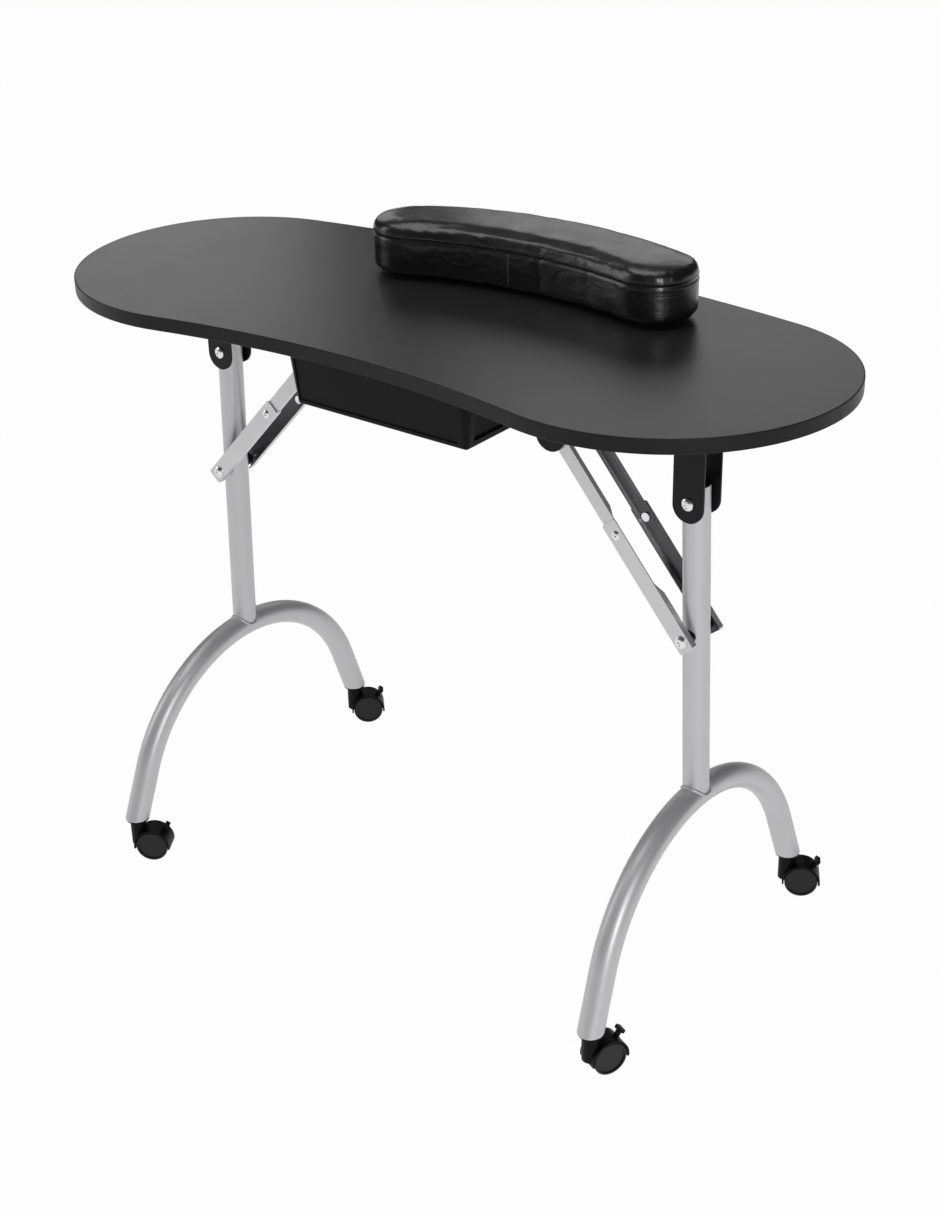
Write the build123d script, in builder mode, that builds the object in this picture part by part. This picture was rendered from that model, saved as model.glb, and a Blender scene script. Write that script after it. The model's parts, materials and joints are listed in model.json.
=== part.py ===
from build123d import *
from math import atan2, cos, degrees, radians, sin, sqrt, tan
import os

# Folding manicure table with a kidney shaped top, two arched legs on casters,
# folding braces, a hanging drawer and a loose wrist cushion.
#
# Millimetres, +Z up. The origin is on the floor under the middle of the whole
# table. X runs along it (+X is its right end), -Y is the technician's side with
# the concave edge and the drawer, +Y is the client's side. Pieces are drawn
# with the posts at Y 0 and brought into that frame as they are written out.

# Table top
table_height = 700
table_length = 924
board_thickness = 15
lobe_radius_far = 169
lobe_radius_near = 192
far_edge_radius = 1846
concave_edge_radius = 1073
edge_band_thickness = 1.5
edge_band_round = 0.7

# Leg frames
hinge_inset = 149
left_hinge_drop = 93
right_hinge_drop = 117
leg_splay = 2.0
tube_diameter = 28
tube_wall = 1.5
post_overrun = 16
arch_height = 234
arch_radius = 188
arch_half_angle = 69
foot_height = 54
cap_rim = 2

# Brackets pressed from sheet, and their fasteners
bracket_sheet = 2.2
bracket_bend = 1.5
ear_radius = 17.5
hinge_ear_drop = 20
hinge_base_length = 92
hinge_screw_pitch = 66
left_brace_ear_drop = 19
right_brace_ear_drop = 25
brace_base_length = 40
brace_screw_pitch = 30
bolt_diameter = 6
bolt_head_diameter = 13
bolt_head_height = 3
head_rim_share = 0.4
recess_depth = 1.7
recess_turn = 20
nut_width = 10
nut_height = 4.5
screw_head_diameter = 8
screw_head_height = 2.2

# Folding braces
brace_sheet = 1.3
brace_plane = 29
brace_angle = {"left": 47.4, "right": 50.2}
post_bolt_drop = 144
lower_link_length = 124
upper_link_length = 125
lower_link_width = 18.5
lower_link_depth = 7.5
lower_link_tip = 15
lower_link_tail = 12
lower_link_corner = 2.5
upper_link_width = 15.2
upper_link_depth = 6
upper_link_corner = 7.55
fold_relief = 60
fold_relief_taper = 16
rivet_diameter = 5
rivet_head_diameter = 9.5
rivet_head_height = 1.8
spacer_diameter = 14

# Drawer and its rails
drawer_centre_x = 40
drawer_width = 230
drawer_front = 156
drawer_length = 114
drawer_height = 54
drawer_draft = 7
drawer_wall = 2.2
drawer_corner = 10
drawer_hang = 1.5
drawer_lip = 6
drawer_lip_thickness = 2.5
drawer_panel_recess = 1.2
pull_post_width = 17
pull_hollow = 8
pull_depth = 30
side_recess = 9
rail_sheet = 2
rail_length = 100

# Wrist cushion, a bean shaped pad on a stiff base
cushion_x = 38
cushion_y = 122
cushion_turn = 2.5
cushion_length = 385
cushion_height = 57
cushion_back_radius = 400
cushion_depth = 94
cushion_end_radius = 43
cushion_edge_round = 9
cushion_base_thickness = 6
cushion_base_margin = 7

# Casters
caster_trail = 17
caster_turn = {"front_left": 32, "rear_left": 43, "front_right": 66, "rear_right": 31}
wheel_radius = 19
wheel_width = 8
wheel_dish = 1.2
wheel_rim = 2.6
tread_round = 1
axle_diameter = 4
fork_width = 9.2
hood_thickness = 2
hood_skirt_angle = 8
stem_diameter = 8
stem_boss_diameter = 19
stem_reach = 17
socket_length = 24
socket_collar = 2.4
brake_pivot_radius = 15
brake_pivot_angle = 48
brake_rest_angle = 58
brake_stroke = 16
brake_width = 5
brake_arm = 4
brake_reach = 17
brake_pad_width = 11
brake_pin_diameter = 2.4

# The casters reach further out on the client's side, so the middle of the
# whole table lies this far behind the middle of its posts.
frame_setback = 10.5

# Clearances
running_fit = 0.05
side_clearance = 0.3
wheel_gap = 0.4
wheel_hood_gap = 0.8

# Places worked out from the sizes above
underside = table_height - board_thickness
tube_radius = tube_diameter / 2
side_sign = {"left": -1, "right": 1}
face_sign = {"front": -1, "rear": 1}
hinge_drop = {"left": left_hinge_drop, "right": right_hinge_drop}
brace_ear_drop = {"left": left_brace_ear_drop, "right": right_brace_ear_drop}
ear_gap = tube_diameter + 2 * side_clearance
ear_face = ear_gap / 2 + bracket_sheet
brace_web_inner = brace_plane - brace_sheet
upper_web_outer = brace_web_inner - side_clearance
upper_web_inner = upper_web_outer - brace_sheet
brace_ear_face = brace_web_inner + bracket_sheet
spacer_face = brace_plane - lower_link_depth - side_clearance
drawer_top = underside - drawer_hang
rail_lip_top = drawer_top - drawer_lip_thickness - side_clearance


def finish(part, label):
    """Name a finished piece, bring it into the table's frame and write it out."""
    placed = part.moved(Location((0, -frame_setback, 0)))
    placed.label = label
    export_step(placed, f"parts/{label}.step")


def leg_up(side):
    """Unit vector up along a post, which leans inwards as it rises."""
    lean = radians(leg_splay)
    return Vector(-side_sign[side] * sin(lean), 0, cos(lean))


def hinge_point(side):
    return Vector(side_sign[side] * (table_length / 2 - hinge_inset), 0, underside - hinge_drop[side])


def leg_plane(side):
    """Plane of a leg frame: local X is the table's Y, local Y runs up the post."""
    up = leg_up(side)
    return Plane(origin=hinge_point(side), x_dir=(0, 1, 0), z_dir=Vector(0, 1, 0).cross(up))


def down_the_leg(side, height):
    """Distance along the leg from its hinge to a height above the floor."""
    return (hinge_point(side).Z - height) / cos(radians(leg_splay))


def foot_point(side, face):
    """Centre of a tube end where the arch is cut level for its caster."""
    bend = radians(arch_half_angle)
    drop = down_the_leg(side, foot_height)
    arc_end = down_the_leg(side, arch_height) + arch_radius * (1 - cos(bend))
    spread = arch_radius * sin(bend) + (drop - arc_end) / tan(bend)
    foot = hinge_point(side) - leg_up(side) * drop
    return Vector(foot.X, face_sign[face] * spread, foot_height)


def brace_direction(side):
    """Unit vector from the post bolt up to the bracket, along a straight brace."""
    rise = radians(brace_angle[side])
    return Vector(-side_sign[side] * cos(rise), 0, sin(rise))


def post_bolt_point(side):
    return hinge_point(side) - leg_up(side) * post_bolt_drop


def elbow_point(side):
    return post_bolt_point(side) + brace_direction(side) * lower_link_length


def brace_bracket_point(side):
    return elbow_point(side) + brace_direction(side) * upper_link_length


def link_plane(side, face, start, depth_from):
    """Plane of a link's outer face: local X along the brace, local Z towards the post."""
    outwards = face_sign[face]
    origin = Vector(start.X, outwards * depth_from, start.Z)
    return Plane(origin=origin, x_dir=brace_direction(side), z_dir=(0, -outwards, 0))


def corner_sign(side, face):
    """Side of a link plane's local Y on which the hinge corner lies."""
    return -face_sign[face] * side_sign[side]


# Table top ---------------------------------------------------------------

def kidney_face(inset):
    """Outline of the top, drawn a distance inside its real edge, as six arcs."""
    half_length = table_length / 2
    far_lobe = half_length - lobe_radius_far
    near_lobe = half_length - lobe_radius_near
    far_centre = -sqrt((far_edge_radius - lobe_radius_far) ** 2 - far_lobe**2)
    near_centre = -sqrt((concave_edge_radius + lobe_radius_near) ** 2 - near_lobe**2)
    far_turn = degrees(atan2(-far_centre, far_lobe))
    near_turn = degrees(atan2(-near_centre, near_lobe))
    with BuildSketch() as outline:
        with BuildLine():
            CenterArc((0, far_centre), far_edge_radius - inset, far_turn, 180 - 2 * far_turn)
            CenterArc((far_lobe, 0), lobe_radius_far - inset, 0, far_turn)
            CenterArc((-far_lobe, 0), lobe_radius_far - inset, 180 - far_turn, far_turn)
            CenterArc((near_lobe, 0), lobe_radius_near - inset, 0, near_turn - 180)
            CenterArc((-near_lobe, 0), lobe_radius_near - inset, 180, 180 - near_turn)
            CenterArc((0, near_centre), concave_edge_radius + inset, near_turn, 180 - 2 * near_turn)
        make_face()
    return outline.sketch


def make_top():
    with BuildPart() as board:
        with BuildSketch(Plane.XY.offset(underside)):
            add(kidney_face(edge_band_thickness))
        extrude(amount=board_thickness)
    finish(board.part, "tabletop_board")

    with BuildPart() as band:
        with BuildSketch(Plane.XY.offset(underside)):
            add(kidney_face(0))
        extrude(amount=board_thickness)
        fillet(band.edges().group_by(Axis.Z)[-1], edge_band_round)
        fillet(band.edges().group_by(Axis.Z)[0], edge_band_round)
        with BuildSketch(Plane.XY.offset(underside)):
            add(kidney_face(edge_band_thickness))
        extrude(amount=board_thickness, mode=Mode.SUBTRACT)
    finish(band.part, "edge_band")


# Legs --------------------------------------------------------------------

def arch_path(side):
    """Centre line of an arch in its leg plane, long enough to pass the level cut."""
    drop = down_the_leg(side, arch_height)
    bend = radians(arch_half_angle)
    below_arc = down_the_leg(side, foot_height) - drop - arch_radius * (1 - cos(bend))
    straight = below_arc / sin(bend) + tube_diameter
    with BuildLine(leg_plane(side)) as path:
        arc = CenterArc((0, -drop - arch_radius), arch_radius, 90 - arch_half_angle, 2 * arch_half_angle)
        Line(arc @ 0, arc @ 0 - (arc % 0) * straight)
        Line(arc @ 1, arc @ 1 + (arc % 1) * straight)
    return path.wires()[0]


def make_arch(side):
    path = arch_path(side)
    with BuildPart() as arch:
        with BuildSketch(Plane(path ^ 0)):
            Circle(tube_radius)
            Circle(tube_radius - tube_wall, mode=Mode.SUBTRACT)
        sweep(path=path)
        split(bisect_by=Plane.XY.offset(foot_height), keep=Keep.TOP)
    finish(arch.part, f"{side}_arch")


def make_post(side):
    """Upright tube, coped over the arch and cross drilled for its hinge and brace bolts."""
    path = arch_path(side)
    up = leg_up(side)
    top = hinge_point(side) + up * post_overrun
    bolt = post_bolt_point(side)
    with BuildPart() as post:
        with BuildSketch(Plane(origin=top, z_dir=up * -1)):
            Circle(tube_radius)
            Circle(tube_radius - tube_wall, mode=Mode.SUBTRACT)
        extrude(amount=post_overrun + down_the_leg(side, arch_height))
        with BuildSketch(Plane(path ^ 0)):
            Circle(tube_radius)
        sweep(path=path, mode=Mode.SUBTRACT)
        with BuildSketch(Plane.XZ):
            with Locations((hinge_point(side).X, hinge_point(side).Z), (bolt.X, bolt.Z)):
                Circle(bolt_diameter / 2 + running_fit)
        extrude(amount=tube_diameter, both=True, mode=Mode.SUBTRACT)
    finish(post.part, f"{side}_post")

    with BuildPart() as cap:
        with BuildSketch(Plane(origin=top, z_dir=up)):
            Circle(tube_radius)
        extrude(amount=cap_rim)
        fillet(cap.faces().sort_by(Axis.Z)[-1].edges(), cap_rim * 0.6)
        with BuildSketch(Plane(origin=top, z_dir=up * -1)):
            Circle(tube_radius - tube_wall)
        extrude(amount=post_overrun - bolt_diameter / 2 - cap_rim)
    finish(cap.part, f"{side}_post_cap")


# Brackets under the top --------------------------------------------------

def round_topped(width, top, bottom, radius):
    """Upright rectangle with its two upper corners rounded."""
    with BuildSketch() as shape:
        with Locations((0, (top + bottom) / 2)):
            Rectangle(width, top - bottom)
        fillet(shape.vertices().group_by(Axis.Y)[-1], radius)
    return shape.sketch


def pressed_bracket(label, centre, ear_face_y, ear_bottom, base_length, hole_diameter):
    """Inverted U of sheet: a base screwed to the top and two round ended ears."""
    outer_bend = bracket_sheet + bracket_bend
    inner_width = 2 * (ear_face_y - bracket_sheet)
    inner_top = underside - bracket_sheet
    ear_round_z = ear_bottom + ear_radius
    with BuildPart() as bracket:
        with BuildSketch(Plane.YZ.offset(centre.X - base_length / 2)):
            add(round_topped(2 * ear_face_y, underside, ear_bottom, outer_bend))
            add(round_topped(inner_width, inner_top, ear_bottom, bracket_bend), mode=Mode.SUBTRACT)
        extrude(amount=base_length)
        with BuildSketch(Plane.XZ):
            with Locations((centre.X, underside - outer_bend / 2)):
                Rectangle(base_length, outer_bend)
            with Locations((centre.X, ear_round_z)):
                Circle(ear_radius)
            with Locations((centre.X, (underside + ear_round_z) / 2)):
                Rectangle(2 * ear_radius, underside - ear_round_z)
        extrude(amount=ear_face_y, both=True, mode=Mode.INTERSECT)
        with BuildSketch(Plane.XZ):
            with Locations((centre.X, centre.Z)):
                Circle(hole_diameter / 2)
        extrude(amount=ear_face_y, both=True, mode=Mode.SUBTRACT)
    finish(bracket.part, label)


def make_brackets(side):
    """Hinge bracket of the post and the wider bracket of its two braces."""
    hinge = hinge_point(side)
    hinge_bottom = hinge.Z - hinge_ear_drop
    pressed_bracket(f"{side}_hinge_bracket", hinge, ear_face, hinge_bottom, hinge_base_length, bolt_diameter)
    pivot = brace_bracket_point(side)
    brace_bottom = pivot.Z - brace_ear_drop[side]
    pressed_bracket(f"{side}_brace_bracket", pivot, brace_ear_face, brace_bottom, brace_base_length, bolt_diameter)


def screw_places(side):
    """Points on the sheet where the screws of both brackets of a side seat."""
    hinge = hinge_point(side)
    pivot = brace_bracket_point(side)
    seat = underside - bracket_sheet
    places = []
    for sign in (-1, 1):
        places.append(Vector(hinge.X + sign * hinge_screw_pitch / 2, 0, seat))
        places.append(Vector(pivot.X, sign * brace_screw_pitch / 2, seat))
    return places


def make_bracket_screws():
    places = screw_places("left") + screw_places("right")
    with BuildPart() as screws:
        for place in places:
            with BuildSketch(Plane(origin=place, z_dir=(0, 0, -1))):
                Circle(screw_head_diameter / 2)
            extrude(amount=screw_head_height)
        crowns = screws.faces().sort_by(Axis.Z)[: len(places)]
        fillet(crowns.edges(), screw_head_height * 0.5)
    finish(screws.part, "bracket_screws")


# Bolts, rivets and spacers, all along Y ----------------------------------

def ring_across_y(point, y_from, y_to, diameter, bore=0):
    """Flat ring at y_from that faces y_to."""
    with BuildSketch(Plane(origin=(point.X, y_from, point.Z), z_dir=(0, y_to - y_from, 0))) as ring:
        Circle(diameter / 2)
        if bore:
            Circle(bore / 2, mode=Mode.SUBTRACT)
    return ring.sketch


def cylinder_along_y(point, y_from, y_to, diameter, bore=0):
    """Add a round bar or a bush between two Y values to the part being built."""
    extrude(ring_across_y(point, y_from, y_to, diameter, bore), amount=abs(y_to - y_from))


def domed_head(point, y_from, y_to, diameter):
    """Add a head with a low domed crown to the part being built."""
    height = abs(y_to - y_from)
    outwards = (y_to - y_from) / height
    radius = diameter / 2
    rim = height * head_rim_share
    dome = (radius**2 + (height - rim) ** 2) / (2 * (height - rim))
    halfway = height - dome + sqrt(dome**2 - radius**2 / 4)
    origin = (point.X, y_from, point.Z)
    with BuildSketch(Plane(origin=origin, x_dir=(1, 0, 0), z_dir=(0, 0, outwards))) as half:
        with BuildLine():
            Polyline((0, height), (0, 0), (radius, 0), (radius, rim))
            ThreePointArc((radius, rim), (radius / 2, halfway), (0, height))
        make_face()
    revolve(half.sketch, axis=Axis(origin, (0, 1, 0)))


def cross_recess(point, crown_y, outwards, diameter):
    """Cut a tapered cross for a driver into a crown of the part being built."""
    crown = Plane(origin=(point.X, crown_y, point.Z), x_dir=(1, 0, 0), z_dir=(0, -outwards, 0))
    with BuildSketch(crown.rotated((0, 0, recess_turn))) as cross:
        Rectangle(diameter * 0.58, diameter * 0.15)
        Rectangle(diameter * 0.15, diameter * 0.58)
    extrude(cross.sketch, amount=recess_depth, taper=6, mode=Mode.SUBTRACT)


def cross_head(point, y_from, outwards, diameter, height):
    """Add a domed head with a cross recess."""
    crown_y = y_from + outwards * height
    domed_head(point, y_from, crown_y, diameter)
    cross_recess(point, crown_y, outwards, diameter)


def eyelet(point, crown_y, outwards):
    """Cut the small hollow that a tubular rivet leaves in its crown."""
    with BuildSketch(Plane(origin=(point.X, crown_y, point.Z), z_dir=(0, -outwards, 0))) as hollow:
        Circle(rivet_diameter / 3)
    extrude(hollow.sketch, amount=rivet_head_height, mode=Mode.SUBTRACT)


def make_hinge_bolt(side):
    point = hinge_point(side)
    with BuildPart() as bolt:
        cross_head(point, -ear_face, -1, bolt_head_diameter, bolt_head_height)
        cylinder_along_y(point, -ear_face, ear_face + nut_height, bolt_diameter)
        with BuildSketch(Plane(origin=(point.X, ear_face, point.Z), z_dir=(0, 1, 0))):
            RegularPolygon(nut_width / 2, 6, major_radius=False)
        extrude(amount=nut_height)
    finish(bolt.part, f"{side}_hinge_bolt")


def make_brace_rod(side):
    """Rod through the post with a spacer on each side, where the braces end."""
    point = post_bolt_point(side)
    end = spacer_face - side_clearance
    with BuildPart() as rod:
        cylinder_along_y(point, -end, end, bolt_diameter)
    finish(rod.part, f"{side}_brace_rod")

    with BuildPart() as spacers:
        for outwards in face_sign.values():
            bore = bolt_diameter + 2 * running_fit
            cylinder_along_y(point, 0, outwards * spacer_face, spacer_diameter, bore)
        top = hinge_point(side)
        with BuildSketch(Plane(origin=top, z_dir=leg_up(side) * -1)):
            Circle(tube_radius)
        extrude(amount=post_bolt_drop + tube_diameter, mode=Mode.SUBTRACT)
    finish(spacers.part, f"{side}_brace_spacers")


def make_brace_pivots(side):
    """Rivets that carry the upper links inside the bracket ears."""
    point = brace_bracket_point(side)
    with BuildPart() as pivots:
        for outwards in face_sign.values():
            ear = outwards * brace_ear_face
            link = outwards * (upper_web_inner - side_clearance)
            cross_head(point, ear, outwards, bolt_head_diameter, bolt_head_height)
            cylinder_along_y(point, link, ear, bolt_diameter)
            domed_head(point, link, link - outwards * rivet_head_height, rivet_head_diameter)
    finish(pivots.part, f"{side}_brace_pivots")


# Folding braces ----------------------------------------------------------

def channel_section(plane, start, width, depth):
    """Sketch plane across a link and its channel section, open towards the post."""
    across = Plane(origin=plane.from_local_coords((start, 0, 0)), x_dir=plane.y_dir, z_dir=plane.x_dir)
    inwards = 1 if across.y_dir.dot(plane.z_dir) > 0 else -1
    with BuildSketch(across) as section:
        with Locations((0, inwards * depth / 2)):
            Rectangle(width, depth)
        with Locations((0, inwards * (brace_sheet + depth / 2))):
            Rectangle(width - 2 * brace_sheet, depth, mode=Mode.SUBTRACT)
    return section.sketch


def make_link(label, plane, corner, start, end, width, depth, corner_radius, relief, holes):
    """One pressed link. relief is the stretch without its flange on the hinge corner's side."""
    with BuildPart() as link:
        extrude(channel_section(plane, start, width, depth), amount=end - start)
        with BuildSketch(plane):
            with Locations(((start + end) / 2, 0)):
                RectangleRounded(end - start, width, corner_radius)
        extrude(amount=depth, mode=Mode.INTERSECT)
        relief_start, relief_end, taper_start, taper_end = relief
        flange_edge = corner * (width / 2 + brace_sheet)
        along = Plane(origin=plane.from_local_coords((0, flange_edge, brace_sheet)), x_dir=plane.x_dir,
                      z_dir=plane.y_dir * -corner)
        inwards = 1 if along.y_dir.dot(plane.z_dir) > 0 else -1
        with BuildSketch(along):
            with BuildLine():
                Polyline(
                    (relief_start, 0), (relief_end, 0), (taper_end, inwards * depth),
                    (taper_start, inwards * depth), close=True
                )
            make_face()
        extrude(amount=2 * brace_sheet, mode=Mode.SUBTRACT)
        with BuildSketch(plane):
            for distance, diameter in holes:
                with Locations((distance, 0)):
                    Circle(diameter / 2)
        extrude(amount=brace_sheet, mode=Mode.SUBTRACT)
    finish(link.part, label)


def make_brace(side, face):
    """Lower link, upper link, elbow rivet and the head of the post bolt of one brace."""
    corner = corner_sign(side, face)
    outwards = face_sign[face]
    lower_plane = link_plane(side, face, post_bolt_point(side), brace_plane)
    tip = lower_link_length + lower_link_tip
    relief_start = lower_link_length - fold_relief
    make_link(
        f"{side}_{face}_lower_link", lower_plane, corner, -lower_link_tail, tip,
        lower_link_width, lower_link_depth, lower_link_corner,
        (relief_start, tip + brace_sheet, relief_start - fold_relief_taper, tip + brace_sheet),
        [(0, bolt_diameter), (lower_link_length, rivet_diameter)],
    )
    upper_plane = link_plane(side, face, elbow_point(side), upper_web_outer)
    end_round = upper_link_width / 2
    make_link(
        f"{side}_{face}_upper_link", upper_plane, corner, -end_round, upper_link_length + end_round,
        upper_link_width, upper_link_depth, upper_link_corner,
        (-end_round, lower_link_tip + 2 * brace_sheet, -end_round, lower_link_tip + fold_relief_taper),
        [(0, rivet_diameter + 2 * running_fit), (upper_link_length, bolt_diameter + 2 * running_fit)],
    )
    elbow = elbow_point(side)
    bolt = post_bolt_point(side)
    inner_end = outwards * (upper_web_inner - side_clearance)
    with BuildPart() as rivets:
        crown = outwards * (brace_plane + rivet_head_height)
        domed_head(elbow, outwards * brace_plane, crown, rivet_head_diameter)
        eyelet(elbow, crown, outwards)
        cylinder_along_y(elbow, inner_end, outwards * brace_plane, rivet_diameter)
        cylinder_along_y(elbow, inner_end, inner_end - outwards * rivet_head_height, rivet_head_diameter)
        cross_head(bolt, outwards * brace_plane, outwards, bolt_head_diameter, bolt_head_height)
        stub_end = outwards * (spacer_face + side_clearance)
        cylinder_along_y(bolt, stub_end, outwards * brace_plane, bolt_diameter)
    finish(rivets.part, f"{side}_{face}_brace_rivets")


# Drawer ------------------------------------------------------------------

def tray_block(width, length, centre, height, corner):
    """Tapered block hanging from the top of the tray, as a solid of its own."""
    with BuildPart() as block:
        with BuildSketch(Plane.XY.offset(drawer_top)):
            with Locations(centre):
                RectangleRounded(width, length, corner)
        extrude(amount=-height, taper=drawer_draft)
        fillet(block.faces().sort_by(Axis.Z)[0].edges(), drawer_wall)
    return block.part


def make_drawer():
    """Moulded tray with draft, side lips, a sunk front panel and a hollow pull post."""
    middle_y = drawer_length / 2 - drawer_front
    left_x = drawer_centre_x - drawer_width / 2
    right_x = drawer_centre_x + drawer_width / 2
    post_x = right_x - pull_post_width / 2
    lip_bottom = drawer_top - drawer_lip_thickness
    inner_width = drawer_width - pull_post_width - 2 * drawer_wall
    inner_length = drawer_length - 2 * drawer_wall - drawer_panel_recess
    inner_x = left_x + drawer_wall + inner_width / 2
    inner_y = drawer_wall / 2 + middle_y
    inside = tray_block(inner_width, inner_length, (inner_x, inner_y), drawer_height - drawer_wall, drawer_corner)
    with BuildPart() as tray:
        add(tray_block(drawer_width, drawer_length, (drawer_centre_x, middle_y), drawer_height, drawer_corner))
        front = Plane(origin=(0, -drawer_front, drawer_top), x_dir=(1, 0, 0), z_dir=(0, -1, 0))
        panel_width = drawer_width - pull_post_width - drawer_corner
        with BuildSketch(front.rotated((drawer_draft, 0, 0))):
            with Locations((left_x + drawer_corner + panel_width / 2, -drawer_height / 2)):
                Rectangle(panel_width, drawer_height - 4 * drawer_wall)
        extrude(amount=-drawer_panel_recess, mode=Mode.SUBTRACT)
        side_length = drawer_length - pull_post_width - drawer_corner
        side_height = drawer_height - drawer_lip_thickness - 3 * drawer_wall
        with BuildSketch(Plane.XY.offset(lip_bottom)):
            with Locations((right_x, pull_post_width + side_length / 2 - drawer_front)):
                Rectangle(2 * side_recess, side_length)
        extrude(amount=-side_height, mode=Mode.SUBTRACT)
        with BuildSketch(Plane.XY.offset(lip_bottom)):
            with Locations((drawer_centre_x, middle_y)):
                Rectangle(drawer_width + 2 * drawer_lip, drawer_length - 2 * drawer_corner)
        extrude(amount=drawer_lip_thickness)
        add(inside, mode=Mode.SUBTRACT)
        with BuildSketch(Plane.XY.offset(drawer_top)):
            with Locations((post_x - drawer_wall / 2, pull_post_width / 2 + drawer_wall / 2 - drawer_front)):
                Circle(pull_hollow / 2)
        extrude(amount=-pull_depth, mode=Mode.SUBTRACT)
    finish(tray.part, "drawer_tray")


def make_rails():
    """Pressed Z rails under the top that the drawer's lips slide on."""
    middle_y = drawer_length / 2 - drawer_front
    lip_edge = drawer_width / 2 + drawer_lip
    web_x = lip_edge + side_clearance + rail_sheet / 2
    shelf_x = lip_edge + side_clearance - drawer_lip / 2
    flange_x = web_x + drawer_lip
    rail_bottom = rail_lip_top - rail_sheet
    for side, outwards in side_sign.items():
        with BuildPart() as rail:
            with BuildSketch(Plane.XZ.offset(rail_length / 2 - middle_y)):
                with Locations((drawer_centre_x + outwards * web_x, (underside + rail_bottom) / 2)):
                    Rectangle(rail_sheet, underside - rail_bottom)
                with Locations((drawer_centre_x + outwards * shelf_x, rail_lip_top - rail_sheet / 2)):
                    Rectangle(drawer_lip, rail_sheet)
                with Locations((drawer_centre_x + outwards * flange_x, underside - rail_sheet / 2)):
                    Rectangle(2 * drawer_lip, rail_sheet)
            extrude(amount=-rail_length)
        finish(rail.part, f"{side}_drawer_rail")


# Wrist cushion -----------------------------------------------------------

def bean_face(inset):
    """Bean outline of the cushion with round ends, drawn a distance inside its edge."""
    half = cushion_length / 2 - cushion_end_radius
    back = cushion_depth / 2 - cushion_end_radius
    end = sqrt(cushion_back_radius**2 - half**2) - cushion_back_radius + back
    with BuildSketch() as outline:
        with BuildLine():
            ThreePointArc((-half, end), (0, back), (half, end))
            ThreePointArc((-half, end), (0, -back), (half, end))
        make_face()
        offset(amount=cushion_end_radius - inset)
    return outline.sketch.moved(Location((cushion_x, cushion_y, 0), (0, 0, cushion_turn)))


def make_cushion():
    bottom = table_height + side_clearance
    with BuildPart() as pad:
        with BuildSketch(Plane.XY.offset(bottom)):
            add(bean_face(0))
        extrude(amount=cushion_height)
        fillet(pad.faces().sort_by(Axis.Z)[-1].edges(), cushion_edge_round)
        with BuildSketch(Plane.XY.offset(bottom)):
            add(bean_face(cushion_base_margin))
        extrude(amount=cushion_base_thickness, mode=Mode.SUBTRACT)
    finish(pad.part, "cushion_pad")

    with BuildPart() as base:
        with BuildSketch(Plane.XY.offset(bottom)):
            add(bean_face(cushion_base_margin))
        extrude(amount=cushion_base_thickness)
    finish(base.part, "cushion_base")


# Casters -----------------------------------------------------------------

def caster_plane(side, face):
    """Upright plane through the wheels: origin on the floor under the stem, local X trails."""
    foot = foot_point(side, face)
    turn = radians(caster_turn[f"{face}_{side}"])
    return Plane(origin=(foot.X, foot.Y, 0), x_dir=(cos(turn), sin(turn), 0), z_dir=(sin(turn), -cos(turn), 0))


def make_socket(side, face):
    """Plastic plug in the tube end with a plumb bore for the caster stem."""
    foot = foot_point(side, face)
    tilt = radians(90 - arch_half_angle)
    spread = face_sign[face] * sin(tilt)
    into_tube = leg_up(side) * cos(tilt) - Vector(0, spread, 0)
    with BuildPart() as socket:
        with BuildSketch(Plane(origin=foot - into_tube * tube_diameter, z_dir=into_tube)):
            Circle(tube_radius - tube_wall)
        extrude(amount=socket_length + tube_diameter)
        split(bisect_by=Plane.XY.offset(foot_height), keep=Keep.TOP)
        with BuildSketch(Plane(origin=foot, z_dir=(0, 0, -1))):
            Circle(tube_radius - side_clearance)
        extrude(amount=socket_collar)
        with BuildSketch(Plane(origin=foot - Vector(0, 0, socket_collar), z_dir=(0, 0, 1))):
            Circle(stem_diameter / 2 + running_fit)
        extrude(amount=socket_collar + stem_reach + side_clearance, mode=Mode.SUBTRACT)
    finish(socket.part, f"{face}_{side}_caster_socket")


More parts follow.
